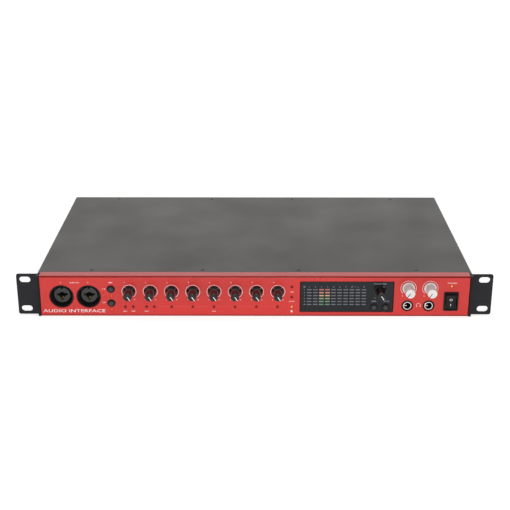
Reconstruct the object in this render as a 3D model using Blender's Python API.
# A one-unit rack audio interface: a folded steel case with a red aluminium fascia and two ears,
# knobs, buttons and a mains rocker that move, sockets front and back, and the boards inside.
# Sizes are in millimetres and become metres in finish(). +X is to the right as seen from the
# front, -Y is the front and +Z is up. The origin is under the middle of the object, on its base.
# "Depth" below is measured back from the front face of the ears.
import math

import bmesh
import bpy
from mathutils import Matrix, Vector

# Rack standard
RACK_WIDTH = 482.6
SLOT_SPACING_X = 465.1
SLOT_SPACING_Z = 31.75
SLOT_LENGTH = 12.0
SLOT_WIDTH = 7.1
EAR_HEIGHT = 44.0
EAR_THICKNESS = 2.0

# Case
BODY_WIDTH = 440.7
BODY_HEIGHT = 44.4
BODY_DEPTH = 248.4
MID_Z = 22.2
SHEET = 1.2
GAP = 0.3
FASCIA_WIDTH = 434.0
FASCIA_THICKNESS = 2.5
FASCIA_STEP = 6.0
COVER_FRONT_DEPTH = 6.1
SCREW_XS = (-166.0, -53.0, 45.0, 165.0)
SCREW_DEPTHS = (11.5, 241.0)
SCREW_HOLE_RADIUS = 1.7

# What stands out in front and behind, which sets where the middle of the object is
KNOB_REACH = 15.3
REAR_REACH = 10.0
EAR_Y = (FASCIA_STEP + KNOB_REACH - BODY_DEPTH - REAR_REACH) / 2

# Front controls: x, and height above or below the middle of the panel
GAIN_X_FIRST = -126.8
GAIN_PITCH = 21.47
GAIN_COUNT = 8
GAIN_H = 5.55
COMBO_XS = (-195.3, -167.8)
COMBO_HOLE_RADIUS = 12.0
PHANTOM_BUTTONS = ((-145.1, 8.2), (-145.1, -7.2))
MONITOR_KNOB = (126.7, 6.7)
MONITOR_BUTTONS = (("dim_button", 120.9, -11.4), ("mute_button", 132.8, -11.4))
HEADPHONE_XS = (155.2, 177.1)
HEADPHONE_KNOB_H = 9.6
HEADPHONE_JACKS = ((154.9, -9.7), (176.5, -9.7))
WINDOW_LOW = (46.1, -16.5)
WINDOW_HIGH = (140.4, 16.4)
SWITCH_CENTRE = (198.8, -4.8)
SWITCH_BEZEL = (15.2, 21.0)

# Rear connectors, guessed
REAR_COMBO_FIRST = -192.0
REAR_COMBO_PITCH = 29.0
REAR_COMBO_COUNT = 6
LINE_JACK_FIRST = -20.0
LINE_JACK_PITCH = 17.0
LINE_JACK_COUNT = 5
STACK_H = 6.9
MIDI_XS = (68.0, 89.0)
COAX_X = 108.0
CLOCK_X = 123.0
OPTICAL_X = 138.0
DATA_X = 152.0
INLET_X = 186.0

# The rear panel is three plates side by side: where each begins and ends
REAR_PLATES = (("inputs", -217.2, -30.9), ("outputs", -30.6, 57.1), ("digital", 57.4, 217.2))

# Boards
BOARD_LOW = 6.8
BOARD_HIGH = 8.4
FRONT_BOARD_DEPTH = 24.0


def depth(distance):
    """World y of a place the given distance behind the front face of the ears."""
    return EAR_Y + distance


def material(name, colour, roughness, metallic=0.0):
    made = bpy.data.materials.get(name) or bpy.data.materials.new(name)
    made.use_nodes = True
    shader = made.node_tree.nodes["Principled BSDF"]
    shader.inputs["Base Color"].default_value = (*colour, 1.0)
    shader.inputs["Roughness"].default_value = roughness
    shader.inputs["Metallic"].default_value = metallic
    return made


def add_block(bm, low, high):
    """A box between two corners."""
    size = [b - a for a, b in zip(low, high)]
    middle = [(a + b) / 2 for a, b in zip(low, high)]
    matrix = Matrix.Translation(middle) @ Matrix.Diagonal((*size, 1.0))
    bmesh.ops.create_cube(bm, size=1.0, matrix=matrix)


def add_prism(bm, outline, axis, start, end):
    """An outline drawn in the plane across the axis, extruded along it from start to end."""
    order = {"X": (2, 0, 1), "Y": (0, 2, 1), "Z": (0, 1, 2)}[axis]
    corners = [(u, v, start) for u, v in outline]
    ring = [bm.verts.new([corner[i] for i in order]) for corner in corners]
    face = bm.faces.new(ring)
    grown = bmesh.ops.extrude_face_region(bm, geom=[face])
    moved = [item for item in grown["geom"] if isinstance(item, bmesh.types.BMVert)]
    along = Vector([(0.0, 0.0, end - start)[i] for i in order])
    bmesh.ops.translate(bm, verts=moved, vec=along)


def arc(centre, radius, start, end, steps):
    """Points along an arc, the angles in degrees."""
    angles = [math.radians(start + (end - start) * i / steps) for i in range(steps + 1)]
    return [(centre[0] + radius * math.cos(a), centre[1] + radius * math.sin(a)) for a in angles]


def circle(centre, radius, sides):
    return arc(centre, radius, 0.0, 360.0, sides)[:-1]


def rounded(low, high, radius, steps):
    """A rectangle's outline with round corners."""
    (x0, y0), (x1, y1) = low, high
    r = radius
    outline = arc((x1 - r, y0 + r), r, -90, 0, steps)
    outline += arc((x1 - r, y1 - r), r, 0, 90, steps)
    outline += arc((x0 + r, y1 - r), r, 90, 180, steps)
    outline += arc((x0 + r, y0 + r), r, 180, 270, steps)
    return outline


def add_turned(bm, profile, sides):
    """A closed profile of (radius, y) turned about the Y axis. Ends on the axis are closed points."""
    rings = []
    for radius, y in profile:
        if radius == 0.0:
            rings.append([bm.verts.new((0.0, y, 0.0))])
        else:
            rings.append([bm.verts.new((x, y, z)) for x, z in circle((0.0, 0.0), radius, sides)])
    for near, far in zip(rings, rings[1:]):
        for i in range(sides):
            j = (i + 1) % sides
            corners = [near[i % len(near)], near[j % len(near)], far[j % len(far)], far[i % len(far)]]
            bm.faces.new(list(dict.fromkeys(corners)))


def finish(name, bm, made_of, place=(0.0, 0.0, 0.0), sharp=35.0):
    """Turns a bmesh in millimetres about its place into an object in metres."""
    bmesh.ops.recalc_face_normals(bm, faces=bm.faces)
    bmesh.ops.scale(bm, vec=(0.001, 0.001, 0.001), verts=bm.verts)
    mesh = bpy.data.meshes.new(name)
    bm.to_mesh(mesh)
    bm.free()
    mesh.shade_smooth()
    mesh.set_sharp_from_angle(angle=math.radians(sharp))
    made = bpy.data.objects.new(name, mesh)
    made.location = [0.001 * value for value in place]
    bpy.context.scene.collection.objects.link(made)
    if made_of:
        mesh.materials.append(made_of)
    return made


def tool(target, bm, operation):
    """Adds a Boolean whose operand is a hidden guide object with the shapes in bm."""
    guide = finish(f"{target.name}_{operation.lower()}", bm, None)
    guide.hide_render = True
    guide.display_type = "WIRE"
    guide.parent = target
    modifier = target.modifiers.new(operation.title(), "BOOLEAN")
    modifier.operation = operation
    modifier.solver = "EXACT"
    modifier.object = guide


def cut(target, bm):
    tool(target, bm, "DIFFERENCE")


def weld(target, bm):
    tool(target, bm, "UNION")


def add_hole(bm, x, z, radius, sides, y0, y1):
    """A round cutter along Y."""
    add_prism(bm, circle((x, z), radius, sides), "Y", y0, y1)


# Case ------------------------------------------------------------------------------------------


def chassis_tray(steel):
    """Floor, front wall with its top flange, low side flanges and the board pillars."""
    half = BODY_WIDTH / 2 - SHEET - GAP
    front = depth(7.0)
    inner = FASCIA_WIDTH / 2
    top = BODY_HEIGHT - SHEET - GAP
    bm = bmesh.new()
    add_block(bm, (-half, depth(COVER_FRONT_DEPTH), 0.0), (half, depth(BODY_DEPTH), SHEET))
    tray = finish("chassis_tray", bm, steel)

    walls = bmesh.new()
    add_block(walls, (-inner, front, SHEET / 2), (inner, front + SHEET, top))
    weld(tray, walls)
    flanges = bmesh.new()
    add_block(flanges, (-inner, front + SHEET / 2, top - SHEET), (inner, depth(17.0), top))
    for side in (-1, 1):
        xs = sorted((side * half, side * (half - SHEET)))
        add_block(flanges, (xs[0], depth(47.0), SHEET / 2), (xs[1], depth(246.5), 13.0))
    for x in (-205.0, -90.0, 25.0, 131.0, 156.0, 205.0):
        for y in (depth(50.0), depth(205.0)):
            add_prism(flanges, circle((x, y), 3.0, 6), "Z", SHEET / 2, BOARD_LOW - GAP)
    weld(tray, flanges)

    windows = bmesh.new()
    for x0, x1 in ((-212.0, -139.5), (-135.5, 31.5), (35.5, 143.5), (147.5, 185.5), (189.5, 211.0)):
        add_block(windows, (x0, front - 1.0, 4.5), (x1, front + SHEET + 1.0, 39.5))
    for x in SCREW_XS:
        y = depth(SCREW_DEPTHS[0])
        add_prism(windows, circle((x, y), 1.3, 6), "Z", top - SHEET - 1.0, top + 1.0)
    cut(tray, windows)
    return tray


def top_cover(paint):
    """One sheet folded over the top and both sides, with screw holes and side vents."""
    half = BODY_WIDTH / 2
    top = BODY_HEIGHT + 0.03
    fold = 1.6
    foot = 0.2
    inside = top - SHEET
    outline = [(-half, foot)]
    outline += arc((-half + fold, top - fold), fold, 180, 90, 3)
    outline += arc((half - fold, top - fold), fold, 90, 0, 3)
    outline += [(half, foot), (half - SHEET, foot), (half - SHEET, inside)]
    outline += [(-half + SHEET, inside), (-half + SHEET, foot)]
    bm = bmesh.new()
    add_prism(bm, outline, "Y", depth(EAR_THICKNESS + GAP), depth(BODY_DEPTH))
    cover = finish("top_cover", bm, paint)

    holes = bmesh.new()
    notch = FASCIA_WIDTH / 2 + GAP
    add_block(holes, (-notch, depth(0.0), inside - 1.0), (notch, depth(COVER_FRONT_DEPTH), top + 1.0))
    for x in SCREW_XS:
        for distance in SCREW_DEPTHS:
            hole = circle((x, depth(distance)), SCREW_HOLE_RADIUS, 8)
            add_prism(holes, hole, "Z", inside - 1.0, top + 1.0)
    for side in (-1, 1):
        x0, x1 = sorted((side * (half - SHEET - 1.0), side * (half + 1.0)))
        for distance in (62.0, 140.0, 232.0):
            add_prism(holes, circle((depth(distance), 8.0), SCREW_HOLE_RADIUS, 6), "X", x0, x1)
        for i in range(12):
            y = depth(92.0) + 6.0 * i
            add_block(holes, (x0, y, 18.0), (x1, y + 2.4, 32.0))
    cut(cover, holes)
    return cover


def front_fascia(red):
    """A channel-shaped extrusion, open to the back, with every front opening cut through it."""
    face = depth(-FASCIA_STEP)
    back = depth(COVER_FRONT_DEPTH - GAP)
    low, high = GAP, BODY_HEIGHT
    lip = 2.0
    edge = 0.8
    outline = [(back, low)]
    outline += arc((face + edge, low + edge), edge, 270, 180, 2)
    outline += arc((face + edge, high - edge), edge, 180, 90, 2)
    outline += [(back, high), (back, high - lip), (face + FASCIA_THICKNESS, high - lip)]
    outline += [(face + FASCIA_THICKNESS, low + lip), (back, low + lip)]
    bm = bmesh.new()
    add_prism(bm, outline, "X", -FASCIA_WIDTH / 2, FASCIA_WIDTH / 2)
    fascia = finish("front_fascia", bm, red)

    y0, y1 = face - 1.0, face + FASCIA_THICKNESS + 1.0
    holes = bmesh.new()
    for x in COMBO_XS:
        add_hole(holes, x, MID_Z, COMBO_HOLE_RADIUS, 24, y0, y1)
    for x, h in PHANTOM_BUTTONS:
        add_hole(holes, x, MID_Z + h, 3.75, 12, y0, y1)
    for i in range(GAIN_COUNT):
        add_hole(holes, GAIN_X_FIRST + GAIN_PITCH * i, MID_Z + GAIN_H, 3.8, 10, y0, y1)
    for x in HEADPHONE_XS:
        add_hole(holes, x, MID_Z + HEADPHONE_KNOB_H, 3.8, 10, y0, y1)
    for x, h in HEADPHONE_JACKS:
        add_hole(holes, x, MID_Z + h, 5.65, 16, y0, y1)
    low_x, low_h = WINDOW_LOW
    high_x, high_h = WINDOW_HIGH
    add_block(holes, (low_x, y0, MID_Z + low_h), (high_x, y1, MID_Z + high_h))
    x, h = SWITCH_CENTRE
    add_block(holes, (x - 6.9, y0, MID_Z + h - 9.7), (x + 6.9, y1, MID_Z + h + 9.7))
    cut(fascia, holes)
    return fascia


def end_cap(name, side, black):
    """The strip that closes one end of the fascia channel, in front of the ear."""
    x0, x1 = sorted((side * (FASCIA_WIDTH / 2 + GAP), side * BODY_WIDTH / 2))
    outline = rounded((x0, 0.0), (x1, BODY_HEIGHT - 0.3), 0.6, 2)
    bm = bmesh.new()
    add_prism(bm, outline, "Y", depth(-FASCIA_STEP + 0.7), depth(-GAP))
    return finish(name, bm, black)


def rack_ear(name, side, black):
    """A bent bracket: the slotted plate outside, and a leg inside the cover's side wall."""
    inner = side * (FASCIA_WIDTH / 2 + GAP)
    outer = side * RACK_WIDTH / 2
    low, high = MID_Z - EAR_HEIGHT / 2, MID_Z + EAR_HEIGHT / 2
    corner = 2.0
    outline = arc((outer - side * corner, low + corner), corner, -90, 0 if side > 0 else -180, 3)
    outline += arc((outer - side * corner, high - corner), corner, 0 if side > 0 else 180, 90, 3)
    outline += [(inner, high), (inner, low)]
    bm = bmesh.new()
    add_prism(bm, outline, "Y", depth(0.0), depth(EAR_THICKNESS))
    ear = finish(name, bm, black)

    leg = bmesh.new()
    x0, x1 = sorted((inner, inner + side * 1.5))
    add_block(leg, (x0, depth(EAR_THICKNESS / 2), 1.5), (x1, depth(45.0), BODY_HEIGHT - SHEET - GAP))
    weld(ear, leg)

    relief = bmesh.new()
    x0, x1 = sorted((inner + side * 1.5, side * 221.0))
    back = depth(EAR_THICKNESS)
    add_block(relief, (x0, back - GAP, low - 1.0), (x1, back + 1.0, high + 1.0))
    ends = (SLOT_LENGTH - SLOT_WIDTH) / 2
    for direction in (-1, 1):
        x = side * SLOT_SPACING_X / 2
        z = MID_Z + direction * SLOT_SPACING_Z / 2
        slot = arc((x + ends, z), SLOT_WIDTH / 2, -90, 90, 5)
        slot += arc((x - ends, z), SLOT_WIDTH / 2, 90, 270, 5)
        add_prism(relief, slot, "Y", depth(-1.0), back + 1.0)
    for distance in (20.0, 36.0):
        x0, x1 = sorted((inner - side, inner + 3.0 * side))
        add_prism(relief, circle((depth(distance), 30.0), 1.7, 6), "X", x0, x1)
    cut(ear, relief)
    return ear


def rear_panel(name, x0, x1, paint):
    """One plate of the back, a channel facing forward, with its connector cut-outs."""
    back = depth(BODY_DEPTH)
    top = BODY_HEIGHT - SHEET - GAP
    low = SHEET + GAP
    outline = [(depth(232.0), top), (depth(232.0), top - SHEET), (back - SHEET, top - SHEET)]
    outline += [(back - SHEET, low + SHEET), (depth(240.0), low + SHEET), (depth(240.0), low)]
    outline += [(back, low), (back, top)]
    bm = bmesh.new()
    add_prism(bm, outline, "X", x0, x1)
    panel = finish(name, bm, paint)

    y0, y1 = back - SHEET - 1.0, back + 1.0
    holes = bmesh.new()
    for i in range(REAR_COMBO_COUNT):
        x = REAR_COMBO_FIRST + REAR_COMBO_PITCH * i
        add_hole(holes, x, MID_Z, COMBO_HOLE_RADIUS, 24, y0, y1)
    for i in range(LINE_JACK_COUNT):
        for h in (-STACK_H, STACK_H):
            add_hole(holes, LINE_JACK_FIRST + LINE_JACK_PITCH * i, MID_Z + h, 5.6, 12, y0, y1)
    for x in MIDI_XS:
        add_hole(holes, x, MID_Z, 7.7, 16, y0, y1)
    for h in (-STACK_H, STACK_H):
        add_hole(holes, COAX_X, MID_Z + h, 4.6, 12, y0, y1)
        z = MID_Z + h
        add_block(holes, (OPTICAL_X - 5.2, y0, z - 5.3), (OPTICAL_X + 5.2, y1, z + 5.3))
    add_hole(holes, CLOCK_X, MID_Z, 5.3, 12, y0, y1)
    data = rounded((DATA_X - 5.0, 8.4), (DATA_X + 5.0, 12.6), 2.0, 2)
    add_prism(holes, data, "Y", y0, y1)
    add_block(holes, (INLET_X - 14.2, y0, MID_Z - 10.3), (INLET_X + 14.2, y1, MID_Z + 10.3))
    for x in SCREW_XS:
        hole = circle((x, depth(SCREW_DEPTHS[1])), 1.3, 6)
        add_prism(holes, hole, "Z", top - SHEET - 1.0, top + 1.0)
    cut(panel, holes)
    return panel


# Front sockets, window, knobs and switches -------------------------------------------------------


def combo_socket(name, x, mouth, facing, black):
    """A square housing with a ring-shaped plug recess round an insert that takes a jack plug."""
    bm = bmesh.new()
    add_block(bm, (-13.5, 0.0, -13.3), (13.5, 32.0, 13.3))
    socket = finish(name, bm, black, (x, mouth, MID_Z))
    socket.rotation_euler.z = 0.0 if facing < 0 else math.pi

    ring = [(7.65, -1.0), (11.6, -1.0), (11.6, 14.0), (7.65, 14.0), (7.65, -1.0)]
    recess = bmesh.new()
    add_turned(recess, ring, 24)
    bmesh.ops.remove_doubles(recess, verts=recess.verts, dist=0.0001)
    add_hole(recess, 0.0, 0.0, 3.5, 12, -1.0, 28.0)
    cut(socket, recess)
    return socket


def headphone_jack(name, x, h, black):
    """A jack body behind the fascia with a round nose that reaches its front face."""
    nose = FASCIA_STEP + GAP - (FASCIA_STEP - FASCIA_THICKNESS - GAP)
    bm = bmesh.new()
    add_block(bm, (-6.5, 0.0, -6.5), (6.5, 30.0, 6.5))
    jack = finish(name, bm, black, (x, depth(-FASCIA_STEP + FASCIA_THICKNESS + GAP), MID_Z + h))
    barrel = bmesh.new()
    add_hole(barrel, 0.0, 0.0, 4.65, 16, -nose, 1.0)
    weld(jack, barrel)
    bore = bmesh.new()
    add_hole(bore, 0.0, 0.0, 3.25, 12, -nose - 1.0, 28.0)
    cut(jack, bore)
    return jack


def knob(name, x, h, base, tip, plastic):
    """A skirted knob on its shaft, turned about Y, its origin on its axis at the fascia's face."""
    front = -KNOB_REACH
    waist = (base + tip) / 2
    profile = [(0.0, 25.0), (3.0, 25.0), (3.0, -0.5), (base, -0.5), (base - 0.1, -1.5)]
    profile += [(waist, -2.6), (tip + 0.45, -4.8), (tip, -8.0), (tip - 0.05, front + 0.5)]
    profile += [(tip - 0.55, front), (0.0, front)]
    bm = bmesh.new()
    add_turned(bm, profile, 14)
    return finish(name, bm, plastic, (x, depth(-FASCIA_STEP), MID_Z + h))


def push_button(name, x, h, plastic):
    """A round cap on a thin stem, its origin on its axis at the fascia's face."""
    bm = bmesh.new()
    profile = [(0.0, 17.5), (1.5, 17.5), (1.5, 4.0), (2.8, 4.0), (2.8, -0.9), (2.3, -1.3), (0.0, -1.3)]
    add_turned(bm, profile, 12)
    return finish(name, bm, plastic, (x, depth(-FASCIA_STEP), MID_Z + h))


def meter_window(tinted):
    """The dark panel in the fascia's opening, pierced for the monitor knob and its buttons."""
    low_x, low_h = WINDOW_LOW
    high_x, high_h = WINDOW_HIGH
    front = depth(-FASCIA_STEP + 0.1)
    bm = bmesh.new()
    low = (low_x + GAP, front, MID_Z + low_h + GAP)
    high = (high_x - GAP, front + 2.4, MID_Z + high_h - GAP)
    add_block(bm, low, high)
    window = finish("meter_window", bm, tinted)
    holes = bmesh.new()
    add_hole(holes, MONITOR_KNOB[0], MID_Z + MONITOR_KNOB[1], 3.8, 10, front - 1.0, front + 3.4)
    for _, x, h in MONITOR_BUTTONS:
        add_hole(holes, x, MID_Z + h, 3.65, 12, front - 1.0, front + 3.4)
    cut(window, holes)
    return window


def meter_light_guide(plastic):
    """The block that holds the meter's light bars between the window and the front board."""
    front = depth(-FASCIA_STEP + 3.0)
    bm = bmesh.new()
    add_block(bm, (50.0, front, MID_Z - 12.0), (114.0, depth(FRONT_BOARD_DEPTH - GAP), MID_Z + 12.0))
    return finish("meter_light_guide", bm, plastic)


def power_switch_housing(black):
    """A snap-in rocker switch body: bezel on the fascia, cavity for the rocker, body behind."""
    x, h = SWITCH_CENTRE
    wide, tall = SWITCH_BEZEL
    z = MID_Z + h
    face = depth(-FASCIA_STEP - GAP)
    bm = bmesh.new()
    bezel = rounded((x - wide / 2, z - tall / 2), (x + wide / 2, z + tall / 2), 0.8, 2)
    add_prism(bm, bezel, "Y", face - 1.3, face)
    housing = finish("power_switch_housing", bm, black)
    body = bmesh.new()
    add_block(body, (x - 6.6, face - 0.6, z - 9.4), (x + 6.6, depth(18.0), z + 9.4))
    weld(housing, body)
    cavity = bmesh.new()
    add_block(cavity, (x - 5.9, face - 2.3, z - 8.75), (x + 5.9, face + 7.0, z + 8.75))
    cut(housing, cavity)
    return housing


def power_rocker(black):
    """The rocker in its ON position: lower half pressed in. Its origin is on its pivot."""
    x, h = SWITCH_CENTRE
    outline = [(-1.0, 8.35), (0.7, 4.2), (1.1, 0.0), (0.7, -4.2), (-1.0, -8.35)]
    outline += [(3.0, -7.7), (4.6, -3.0), (4.6, 3.0), (3.0, 7.7)]
    bm = bmesh.new()
    add_prism(bm, outline, "X", -5.6, 5.6)
    bmesh.ops.rotate(bm, verts=bm.verts, matrix=Matrix.Rotation(math.radians(11.0), 3, "X"))
    return finish("power_rocker", bm, black, (x, depth(-FASCIA_STEP - 1.2), MID_Z + h))


# Rear connectors ---------------------------------------------------------------------------------


def line_jack_block(name, x, black):
    """Two stacked jack sockets in one housing, with round noses through the rear panel."""
    front = depth(BODY_DEPTH - SHEET - GAP)
    bm = bmesh.new()
    add_block(bm, (x - 8.0, front - 27.0, MID_Z - 13.3), (x + 8.0, front, MID_Z + 13.3))
    block = finish(name, bm, black)
    noses = bmesh.new()
    bores = bmesh.new()
    for h in (-STACK_H, STACK_H):
        add_hole(noses, x, MID_Z + h, 5.25, 12, front - 1.0, front + 3.3)
        add_hole(bores, x, MID_Z + h, 3.3, 12, front - 25.0, front + 4.3)
    weld(block, noses)
    cut(block, bores)
    return block


def midi_socket(name, x, black):
    """A round five-pin socket with its face flush in the rear panel."""
    front = depth(BODY_DEPTH - SHEET - GAP)
    bm = bmesh.new()
    add_block(bm, (x - 9.5, front - 12.0, MID_Z - 9.5), (x + 9.5, front, MID_Z + 9.5))
    socket = finish(name, bm, black)
    face = bmesh.new()
    add_hole(face, x, MID_Z, 7.4, 16, front - 1.0, front + 1.3)
    weld(socket, face)
    return socket


def coax_socket_block(black):
    """Two stacked coaxial digital sockets with barrels behind the rear panel."""
    front = depth(BODY_DEPTH - SHEET - GAP)
    bm = bmesh.new()
    add_block(bm, (COAX_X - 6.5, front - 14.0, MID_Z - 13.0), (COAX_X + 6.5, front, MID_Z + 13.0))
    block = finish("coax_socket_block", bm, black)
    barrels = bmesh.new()
    bores = bmesh.new()
    for h in (-STACK_H, STACK_H):
        add_hole(barrels, COAX_X, MID_Z + h, 4.15, 12, front - 1.0, depth(BODY_DEPTH) + 8.2)
        add_hole(bores, COAX_X, MID_Z + h, 1.7, 8, front - 6.0, depth(BODY_DEPTH) + 9.2)
    weld(block, barrels)
    cut(block, bores)
    return block


def clock_socket(metal):
    """A bayonet coaxial socket for a word clock, with two lugs and a centre contact sleeve."""
    front = depth(BODY_DEPTH - SHEET - GAP)
    back = SHEET + GAP + REAR_REACH
    profile = [(0.0, -12.0), (6.8, -12.0), (6.8, 0.0), (4.8, 0.0), (4.8, back), (4.05, back)]
    profile += [(4.05, back - 7.0), (1.2, back - 7.0), (1.2, back - 1.5), (0.0, back - 1.5)]
    bm = bmesh.new()
    add_turned(bm, profile, 12)
    socket = finish("clock_socket", bm, metal, (CLOCK_X, front, MID_Z))
    lugs = bmesh.new()
    add_block(lugs, (-0.9, back - 5.0, 4.4), (0.9, back - 3.2, 5.9))
    add_block(lugs, (-0.9, back - 5.0, -5.9), (0.9, back - 3.2, -4.4))
    weld(socket, lugs)
    return socket


def optical_port(name, h, black):
    """A square optical digital port, its mouth just proud of the rear panel."""
    front = depth(BODY_DEPTH - SHEET - GAP)
    z = MID_Z + h
    bm = bmesh.new()
    add_block(bm, (OPTICAL_X - 4.9, front - 12.0, z - 5.0), (OPTICAL_X + 4.9, front + 2.1, z + 5.0))
    port = finish(name, bm, black)
    mouth = bmesh.new()
    add_block(mouth, (OPTICAL_X - 3.4, front - 5.0, z - 3.4), (OPTICAL_X + 3.4, front + 3.1, z + 3.4))
    cut(port, mouth)
    return port


def data_port(metal):
    """The computer connection: a small round-ended metal shell with a tongue inside."""
    back = depth(BODY_DEPTH) + 0.4
    bm = bmesh.new()
    shell = rounded((DATA_X - 4.5, 8.7), (DATA_X + 4.5, 12.0), 1.6, 2)
    add_prism(bm, shell, "Y", back - 9.0, back)
    port = finish("data_port", bm, metal)
    slot = bmesh.new()
    inside = rounded((DATA_X - 4.1, 9.1), (DATA_X + 4.1, 11.6), 1.2, 2)
    add_prism(slot, inside, "Y", back - 6.5, back + 1.0)
    cut(port, slot)
    tongue = bmesh.new()
    add_block(tongue, (DATA_X - 3.3, back - 7.5, 10.0), (DATA_X + 3.3, back - 0.9, 10.7))
    weld(port, tongue)
    return port


def mains_inlet(black):
    """A three-blade mains inlet with its screw flange outside the rear panel."""
    back = depth(BODY_DEPTH) + GAP
    bm = bmesh.new()
    flange = rounded((INLET_X - 25.0, MID_Z - 11.3), (INLET_X + 25.0, MID_Z + 11.3), 3.0, 2)
    add_prism(bm, flange, "Y", back, back + 2.6)
    inlet = finish("mains_inlet", bm, black)
    body = bmesh.new()
    add_block(body, (INLET_X - 13.6, back - 18.0, MID_Z - 9.8), (INLET_X + 13.6, back + 0.6, MID_Z + 9.8))
    weld(inlet, body)
    cavity = bmesh.new()
    mouth = [(-12.2, -8.0), (12.2, -8.0), (12.2, 4.5), (8.5, 8.0), (-8.5, 8.0), (-12.2, 4.5)]
    add_prism(cavity, [(INLET_X + u, MID_Z + v) for u, v in mouth], "Y", back - 15.0, back + 3.6)
    for side in (-1, 1):
        add_prism(cavity, circle((INLET_X + 20.0 * side, MID_Z), 1.8, 8), "Y", back - 1.0, back + 3.6)
    cut(inlet, cavity)
    blades = bmesh.new()
    for u, v in ((-7.0, -2.0), (0.0, 2.0), (7.0, -2.0)):
        x, z = INLET_X + u, MID_Z + v
        add_block(blades, (x - 1.0, back - 16.0, z - 2.0), (x + 1.0, back - 3.6, z + 2.0))
    weld(inlet, blades)
    return inlet


# Inside ------------------------------------------------------------------------------------------


def front_board(green):
    """The upright board behind the fascia, with the control bodies soldered to it."""
    y = depth(FRONT_BOARD_DEPTH)
    bm = bmesh.new()
    add_block(bm, (-151.0, y, 9.0), (186.5, y + 1.6, 40.0))
    board = finish("front_board", bm, green)
    pots = [(GAIN_X_FIRST + GAIN_PITCH * i, GAIN_H) for i in range(GAIN_COUNT)]
    pots += [MONITOR_KNOB]
    pots += [(x, HEADPHONE_KNOB_H) for x in HEADPHONE_XS]
    bodies = bmesh.new()
    bores = bmesh.new()
    for x, h in pots:
        z = MID_Z + h
        add_block(bodies, (x - 5.5, y - 9.0, z - 5.5), (x + 5.5, y + 0.8, z + 5.5))
        add_hole(bores, x, z, 3.4, 8, y - 10.0, y - 3.0)
    buttons = list(PHANTOM_BUTTONS) + [(x, h) for _, x, h in MONITOR_BUTTONS]
    for x, h in buttons:
        z = MID_Z + h
        add_block(bodies, (x - 3.0, y - 10.7, z - 3.0), (x + 3.0, y + 0.8, z + 3.0))
    add_block(bores, (147.0, y - 1.0, 8.0), (184.5, y + 2.6, MID_Z - 2.6))
    weld(board, bodies)
    cut(board, bores)
    return board


def main_board(green):
    """The big flat board, with its processor, converters and regulators as low blocks."""
    bm = bmesh.new()
    add_block(bm, (-213.0, depth(36.0), BOARD_LOW), (143.0, depth(244.0), BOARD_HIGH))
    board = finish("main_board", bm, green)
    chips = bmesh.new()
    for i in range(GAIN_COUNT):
        x = -190.0 + 34.0 * i
        add_block(chips, (x, depth(110.0), BOARD_LOW + 0.8), (x + 9.0, depth(119.0), BOARD_HIGH + 1.6))
        add_block(chips, (x + 2.0, depth(150.0), BOARD_LOW + 0.8), (x + 10.0, depth(164.0), BOARD_HIGH + 5.0))
    add_block(chips, (86.0, depth(106.0), BOARD_LOW + 0.8), (110.0, depth(130.0), BOARD_HIGH + 2.0))
    weld(board, chips)
    return board


def power_supply_board(brown):
    bm = bmesh.new()
    add_block(bm, (149.0, depth(40.0), BOARD_LOW), (213.0, depth(215.0), BOARD_HIGH))
    return finish("power_supply_board", bm, brown)


def transformer(yellow):
    """A taped winding between the two halves of a ferrite core."""
    bm = bmesh.new()
    low = BOARD_HIGH + GAP
    add_block(bm, (158.0, depth(110.0), low), (190.0, depth(142.0), low + 24.0))
    made = finish("transformer", bm, yellow)
    winding = bmesh.new()
    add_block(winding, (162.0, depth(104.0), low + 3.0), (186.0, depth(148.0), low + 21.0))
    weld(made, winding)
    return made


def heat_sink(aluminium):
    """An extruded comb of fins across the air path."""
    low = BOARD_HIGH + GAP
    fins = 6
    pitch = 5.0
    x = 160.0
    outline = [(x, low), (x + pitch * fins, low)]
    for i in reversed(range(fins)):
        left = x + pitch * i + 1.5
        outline += [(left + 2.0, low + 24.0), (left, low + 24.0), (left, low + 3.0)]
        if i:
            outline += [(left - 1.5 - 1.5, low + 3.0)]
    outline = [point for i, point in enumerate(outline) if point not in outline[:i]]
    bm = bmesh.new()
    add_prism(bm, outline, "Y", depth(160.0), depth(200.0))
    return finish("heat_sink", bm, aluminium)


def bulk_capacitor(sleeve):
    """The mains reservoir capacitor, lying along Y on its board."""
    bm = bmesh.new()
    radius = 11.0
    length = 35.0
    edge = 0.8
    profile = [(0.0, 0.0), (radius - edge, 0.0), (radius, edge)]
    profile += [(radius, length - edge), (radius - edge, length), (0.0, length)]
    add_turned(bm, profile, 16)
    return finish("bulk_capacitor", bm, sleeve, (173.0, depth(54.0), BOARD_HIGH + GAP + radius))


def strip_outline(path, thickness):
    """A thin strip's outline along a path of points."""
    sides = ([], [])
    for i, point in enumerate(path):
        before = Vector(path[max(i - 1, 0)])
        after = Vector(path[min(i + 1, len(path) - 1)])
        along = (after - before).normalized()
        across = Vector((-along.y, along.x)) * (thickness / 2)
        sides[0].append(tuple(Vector(point) + across))
        sides[1].append(tuple(Vector(point) - across))
    return sides[0] + sides[1][::-1]


def ribbon_cable(grey):
    """The flat cable from the front board's back down to the main board."""
    y = depth(FRONT_BOARD_DEPTH + 1.6 + GAP)
    low = BOARD_HIGH + GAP
    path = [(y, low + 14.0), (y + 12.0, low + 14.0)]
    path += arc((y + 12.0, low + 6.0), 8.0, 90, 0, 4)[1:]
    path += [(y + 20.0, low)]
    bm = bmesh.new()
    add_prism(bm, strip_outline(path, 1.0), "X", -62.0, -22.0)
    return finish("ribbon_cable", bm, grey)


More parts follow.
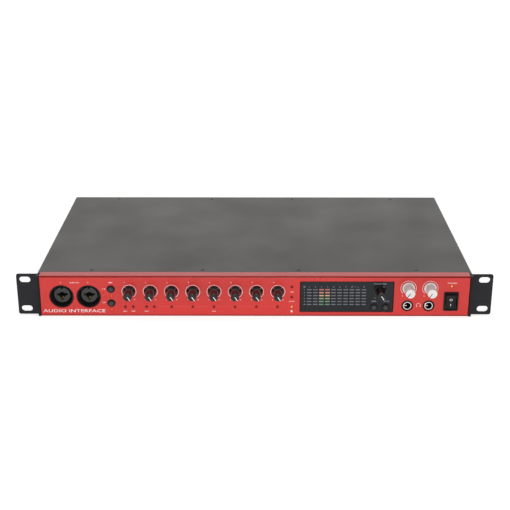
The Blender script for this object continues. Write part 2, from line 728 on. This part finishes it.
def mains_harness(sleeve):
    """The sleeved mains wires from the inlet along the right wall to the power switch."""
    radius = 2.2
    route = [(190.0, 230.2, 22.0), (190.0, 225.0, 22.5), (195.0, 217.0, 28.0), (204.0, 206.0, 34.0)]
    route += [(208.0, 190.0, 36.0), (208.0, 130.0, 36.0), (208.0, 60.0, 35.0), (206.0, 40.0, 30.0)]
    route += [(201.0, 31.0, 21.0), (199.0, 24.0, 17.0), (199.0, 18.5, 16.5)]
    curve = bpy.data.curves.new("mains_harness", "CURVE")
    curve.dimensions = "3D"
    curve.bevel_depth = radius * 0.001
    curve.bevel_resolution = 1
    curve.use_fill_caps = True
    spline = curve.splines.new("POLY")
    spline.points.add(len(route) - 1)
    for point, (x, distance, z) in zip(spline.points, route):
        point.co = (0.001 * x, 0.001 * depth(distance), 0.001 * z, 1.0)
    made = bpy.data.objects.new("mains_harness", curve)
    curve.materials.append(sleeve)
    bpy.context.scene.collection.objects.link(made)
    return made


def main():
    for old in list(bpy.data.objects):
        bpy.data.objects.remove(old, do_unlink=True)

    red = material("red_anodised_aluminium", (0.60, 0.055, 0.045), 0.42, 0.35)
    dark = material("dark_grey_powder_coat", (0.10, 0.10, 0.095), 0.55)
    black = material("black_powder_coat", (0.030, 0.030, 0.034), 0.5)
    zinc = material("zinc_plated_steel", (0.55, 0.56, 0.57), 0.35, 1.0)
    plastic = material("black_moulded_plastic", (0.015, 0.015, 0.016), 0.4)
    soft_black = material("soft_touch_black_plastic", (0.022, 0.022, 0.024), 0.55)
    white = material("white_moulded_plastic", (0.80, 0.80, 0.79), 0.35)
    tinted = material("tinted_window_acrylic", (0.020, 0.024, 0.032), 0.12)
    board = material("green_circuit_board", (0.02, 0.12, 0.05), 0.45)
    brown = material("brown_circuit_board", (0.22, 0.12, 0.05), 0.6)
    nickel = material("nickel_plate", (0.60, 0.57, 0.52), 0.22, 1.0)
    tape = material("yellow_winding_tape", (0.65, 0.50, 0.10), 0.5)
    fins = material("plain_aluminium", (0.72, 0.72, 0.73), 0.38, 1.0)
    sleeve = material("black_capacitor_sleeve", (0.04, 0.05, 0.09), 0.3)
    ribbon = material("grey_ribbon_vinyl", (0.42, 0.43, 0.45), 0.5)
    frosted = material("frosted_light_guide", (0.30, 0.31, 0.33), 0.5)

    chassis_tray(zinc)
    top_cover(dark)
    front_fascia(red)
    for name, side in (("left", -1), ("right", 1)):
        end_cap(f"end_cap_{name}", side, plastic)
        rack_ear(f"rack_ear_{name}", side, black)
    for name, x0, x1 in REAR_PLATES:
        rear_panel(f"rear_panel_{name}", x0, x1, black)

    socket_face = depth(-FASCIA_STEP + FASCIA_THICKNESS + GAP)
    for i, x in enumerate(COMBO_XS, 1):
        combo_socket(f"front_combo_socket_{i}", x, socket_face, -1, plastic)
    for i, (x, h) in enumerate(HEADPHONE_JACKS, 1):
        headphone_jack(f"headphone_jack_{i}", x, h, plastic)
    for i in range(GAIN_COUNT):
        knob(f"gain_knob_{i + 1}", GAIN_X_FIRST + GAIN_PITCH * i, GAIN_H, 6.35, 4.3, soft_black)
    knob("monitor_knob", *MONITOR_KNOB, 6.35, 4.3, soft_black)
    for i, x in enumerate(HEADPHONE_XS, 1):
        knob(f"headphone_knob_{i}", x, HEADPHONE_KNOB_H, 6.9, 4.85, white)
    for i, (x, h) in enumerate(PHANTOM_BUTTONS, 1):
        push_button(f"phantom_button_{i}", x, h, plastic)
    for name, x, h in MONITOR_BUTTONS:
        push_button(name, x, h, plastic)
    meter_window(tinted)
    meter_light_guide(frosted)
    power_switch_housing(plastic)
    power_rocker(plastic)

    rear_face = depth(BODY_DEPTH - SHEET - GAP)
    for i in range(REAR_COMBO_COUNT):
        x = REAR_COMBO_FIRST + REAR_COMBO_PITCH * i
        combo_socket(f"rear_combo_socket_{i + 1}", x, rear_face, 1, plastic)
    for i in range(LINE_JACK_COUNT):
        line_jack_block(f"line_jack_block_{i + 1}", LINE_JACK_FIRST + LINE_JACK_PITCH * i, plastic)
    for i, x in enumerate(MIDI_XS, 1):
        midi_socket(f"midi_socket_{i}", x, plastic)
    coax_socket_block(plastic)
    clock_socket(nickel)
    optical_port("optical_port_1", STACK_H, plastic)
    optical_port("optical_port_2", -STACK_H, plastic)
    data_port(nickel)
    mains_inlet(plastic)

    front_board(board)
    main_board(board)
    power_supply_board(brown)
    transformer(tape)
    heat_sink(fins)
    bulk_capacitor(sleeve)
    ribbon_cable(ribbon)
    mains_harness(sleeve)


main()
